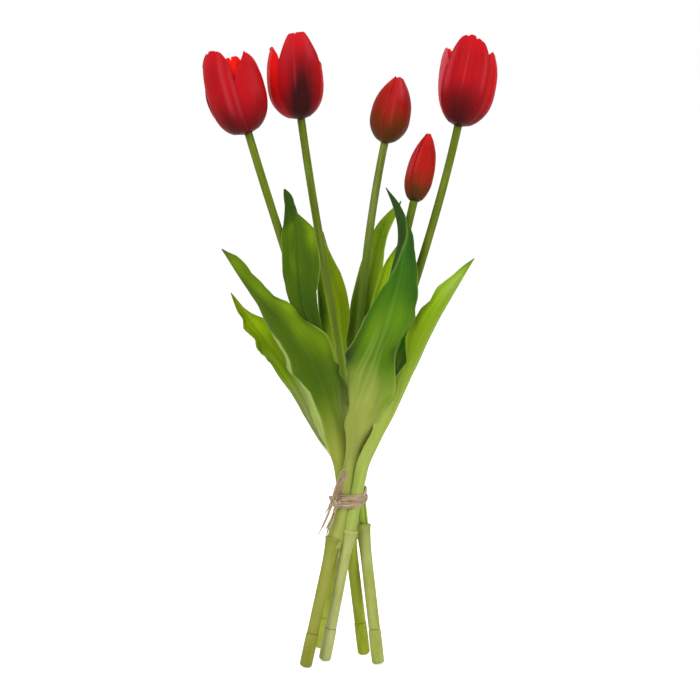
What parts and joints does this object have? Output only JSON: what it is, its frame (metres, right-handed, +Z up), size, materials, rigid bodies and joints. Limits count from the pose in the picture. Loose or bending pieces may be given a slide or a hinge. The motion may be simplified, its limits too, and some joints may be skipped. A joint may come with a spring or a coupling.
{
  "type": "artificial tulip bouquet",
  "caption": "Bunch of artificial tulips on bendable wired stems, open blooms and closed buds with long leaves, tied with raffia and standing on its splayed stem ends.",
  "frame": {"origin": "centre of the bounding box, on the ground under the stem ends", "axes": "+Z up along the bunch, -Y towards the front, +X to the right"},
  "size_m": [0.2136, 0.077, 0.466],
  "materials": {
    "petal_plastic": "soft foam plastic, satin, printed from red to a dark base",
    "bud_plastic": "soft foam plastic, satin, red with an olive base",
    "bloom_core_plastic": "moulded plastic, dark",
    "leaf_plastic": "soft plastic with fine ribs, green fading to lime at the foot",
    "stem_plastic": "soft plastic over wire, olive green",
    "lower_stem_plastic": "soft plastic over wire, pale green",
    "wire_steel": "plain steel wire",
    "raffia": "dry flat raffia"
  },
  "bodies": {
    "bouquet": {"end_cap_1": "lower_stem_plastic", "lower_stem_1": "lower_stem_plastic", "end_cap_2": "lower_stem_plastic", "lower_stem_2": "lower_stem_plastic", "end_cap_3": "lower_stem_plastic", "lower_stem_3": "lower_stem_plastic", "end_cap_4": "lower_stem_plastic", "lower_stem_4": "lower_stem_plastic", "end_cap_5": "lower_stem_plastic", "lower_stem_5": "lower_stem_plastic", "leaf_front_left": "leaf_plastic", "leaf_low_left": "leaf_plastic", "leaf_upper_left": "leaf_plastic", "leaf_back_left": "leaf_plastic", "leaf_back_right": "leaf_plastic", "leaf_front_right": "leaf_plastic", "leaf_far_right": "leaf_plastic", "leaf_inner_right": "leaf_plastic", "leaf_short_right": "leaf_plastic", "raffia_tie": "raffia"},
    "stem_1": {"stem_1": "stem_plastic", "core_wire_1": "wire_steel"},
    "head_1": {"bloom_1_core": "bloom_core_plastic", "bloom_1_outer_tepal_1": "petal_plastic", "bloom_1_outer_tepal_2": "petal_plastic", "bloom_1_outer_tepal_3": "petal_plastic", "bloom_1_inner_tepal_1": "petal_plastic", "bloom_1_inner_tepal_2": "petal_plastic", "bloom_1_inner_tepal_3": "petal_plastic"},
    "stem_2": {"stem_2": "stem_plastic", "core_wire_2": "wire_steel"},
    "head_2": {"bloom_2_core": "bloom_core_plastic", "bloom_2_outer_tepal_1": "petal_plastic", "bloom_2_outer_tepal_2": "petal_plastic", "bloom_2_outer_tepal_3": "petal_plastic", "bloom_2_inner_tepal_1": "petal_plastic", "bloom_2_inner_tepal_2": "petal_plastic", "bloom_2_inner_tepal_3": "petal_plastic"},
    "stem_3": {"stem_3": "stem_plastic", "core_wire_3": "wire_steel"},
    "head_3": {"bud_3_core": "bud_plastic", "bud_3_outer_tepal_1": "bud_plastic", "bud_3_outer_tepal_2": "bud_plastic", "bud_3_outer_tepal_3": "bud_plastic"},
    "stem_4": {"stem_4": "stem_plastic", "core_wire_4": "wire_steel"},
    "head_4": {"bud_4_core": "bud_plastic", "bud_4_outer_tepal_1": "bud_plastic", "bud_4_outer_tepal_2": "bud_plastic", "bud_4_outer_tepal_3": "bud_plastic"},
    "stem_5": {"stem_5": "stem_plastic", "core_wire_5": "wire_steel"},
    "head_5": {"bloom_5_core": "bloom_core_plastic", "bloom_5_outer_tepal_1": "petal_plastic", "bloom_5_outer_tepal_2": "petal_plastic", "bloom_5_outer_tepal_3": "petal_plastic", "bloom_5_inner_tepal_1": "petal_plastic", "bloom_5_inner_tepal_2": "petal_plastic", "bloom_5_inner_tepal_3": "petal_plastic"}
  },
  "joints": [
    {"name": "stem_1_bend", "type": "hinge", "parent": "bouquet", "child": "stem_1", "pos_m": [-0.05555, -0.01521, 0.332], "axis": [0.2425, -0.9701, 0], "range_deg": [0, 25], "deforming": ["stem_1", "core_wire_1"]},
    {"name": "stem_2_bend", "type": "hinge", "parent": "bouquet", "child": "stem_2", "pos_m": [-0.02728, 0.01535, 0.338], "axis": [-0.9684, -0.2496, 0], "range_deg": [-7, 22], "deforming": ["stem_2", "core_wire_2"]},
    {"name": "stem_3_bend", "type": "hinge", "parent": "bouquet", "child": "stem_3", "pos_m": [0.01495, 0.02251, 0.33], "axis": [-0.9536, 0.3011, 0], "range_deg": [-7, 25], "deforming": ["stem_3", "core_wire_3"]},
    {"name": "stem_4_bend", "type": "hinge", "parent": "bouquet", "child": "stem_4", "pos_m": [0.03779, -0.013, 0.312], "axis": [0.6606, 0.7507, 0], "range_deg": [-7, 15], "deforming": ["stem_4", "core_wire_4"]},
    {"name": "stem_5_bend", "type": "hinge", "parent": "bouquet", "child": "stem_5", "pos_m": [0.05993, -0.00851, 0.33], "axis": [-0.0995, 0.995, 0], "range_deg": [-7, 25], "deforming": ["stem_5", "core_wire_5"]},
    {"name": "head_1_turn", "type": "hinge", "parent": "stem_1", "child": "head_1", "pos_m": [-0.07411, -0.01651, 0.393], "axis": [-0.2785, 0, 0.9604], "continuous": true},
    {"name": "head_2_turn", "type": "hinge", "parent": "stem_2", "child": "head_2", "pos_m": [-0.03681, 0.00549, 0.40352], "axis": [-0.1277, -0.1375, 0.9822], "continuous": true},
    {"name": "head_3_turn", "type": "hinge", "parent": "stem_3", "child": "head_3", "pos_m": [0.02479, 0.02429, 0.386], "axis": [0.2054, -0.0293, 0.9782], "continuous": true},
    {"name": "head_4_turn", "type": "hinge", "parent": "stem_4", "child": "head_4", "pos_m": [0.04539, -0.01031, 0.34448], "axis": [0.2224, 0.1257, 0.9668], "continuous": true},
    {"name": "head_5_turn", "type": "hinge", "parent": "stem_5", "child": "head_5", "pos_m": [0.07739, -0.00231, 0.398], "axis": [0.2136, 0.1068, 0.9711], "continuous": true}
  ]
}
